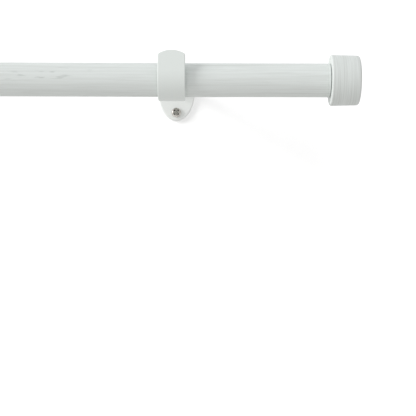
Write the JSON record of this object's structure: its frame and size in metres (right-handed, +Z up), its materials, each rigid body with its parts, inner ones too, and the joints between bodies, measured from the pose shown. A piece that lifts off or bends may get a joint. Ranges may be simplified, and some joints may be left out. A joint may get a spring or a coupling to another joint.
{
  "type": "curtain rod",
  "caption": "Wooden curtain rod with turned drum end caps, carried off the wall by bent-strap hook brackets with oval plates and clamping set screws.",
  "frame": {"origin": "on the wall, at the middle of the centre bracket's plate", "axes": "+X along the rod, +Y into the wall, +Z up"},
  "size_m": [1.2632, 0.1541, 0.0599],
  "materials": {
    "whitewashed_wood": "whitewash, satin",
    "whitewashed_cap": "whitewash, satin",
    "white_coated_steel": "white powder coat",
    "zinc_steel": "zinc plate",
    "bright_steel": "bright nickel"
  },
  "bodies": {
    "rod_and_brackets": {"rod": "whitewashed_wood", "right_wall_plate": "white_coated_steel", "right_hook_arm": "white_coated_steel", "right_upper_wall_screw": "bright_steel", "right_lower_wall_screw": "bright_steel", "centre_wall_plate": "white_coated_steel", "centre_hook_arm": "white_coated_steel", "centre_upper_wall_screw": "bright_steel", "centre_lower_wall_screw": "bright_steel", "left_wall_plate": "white_coated_steel", "left_hook_arm": "white_coated_steel", "left_upper_wall_screw": "bright_steel", "left_lower_wall_screw": "bright_steel"},
    "right_set_screw": {"right_set_screw": "zinc_steel"},
    "centre_set_screw": {"centre_set_screw": "zinc_steel"},
    "left_set_screw": {"left_set_screw": "zinc_steel"},
    "right_cap_stud": {"right_cap_stud": "zinc_steel"},
    "right_cap": {"right_cap": "whitewashed_cap"},
    "left_cap_stud": {"left_cap_stud": "zinc_steel"},
    "left_cap": {"left_cap": "whitewashed_cap"}
  },
  "joints": [
    {"name": "right_set_screw_travel", "type": "slide", "parent": "rod_and_brackets", "child": "right_set_screw", "axis": [0, -0.8988, 0.4384], "range_m": [-0.0055, 0]},
    {"name": "centre_set_screw_travel", "type": "slide", "parent": "rod_and_brackets", "child": "centre_set_screw", "axis": [0, -0.8988, 0.4384], "range_m": [-0.0055, 0]},
    {"name": "left_set_screw_travel", "type": "slide", "parent": "rod_and_brackets", "child": "left_set_screw", "axis": [0, -0.8988, 0.4384], "range_m": [-0.0055, 0]},
    {"name": "right_cap_travel", "type": "slide", "parent": "rod_and_brackets", "child": "right_cap_stud", "axis": [1, 0, 0], "range_m": [0, 0.01525]},
    {"name": "right_cap_turn", "type": "hinge", "parent": "right_cap_stud", "child": "right_cap", "pos_m": [0.6096, -0.1074, -0.0148], "axis": [1, 0, 0], "range_deg": [0, 2160]},
    {"name": "left_cap_travel", "type": "slide", "parent": "rod_and_brackets", "child": "left_cap_stud", "axis": [-1, 0, 0], "range_m": [0, 0.01525]},
    {"name": "left_cap_turn", "type": "hinge", "parent": "left_cap_stud", "child": "left_cap", "pos_m": [-0.6096, -0.1074, -0.0148], "axis": [-1, 0, 0], "range_deg": [0, 2160]}
  ],
  "couplings": [
    {"joint": "right_cap_travel", "follows": "right_cap_turn", "m_per_rad": 0.00040425},
    {"joint": "left_cap_travel", "follows": "left_cap_turn", "m_per_rad": 0.00040425}
  ]
}
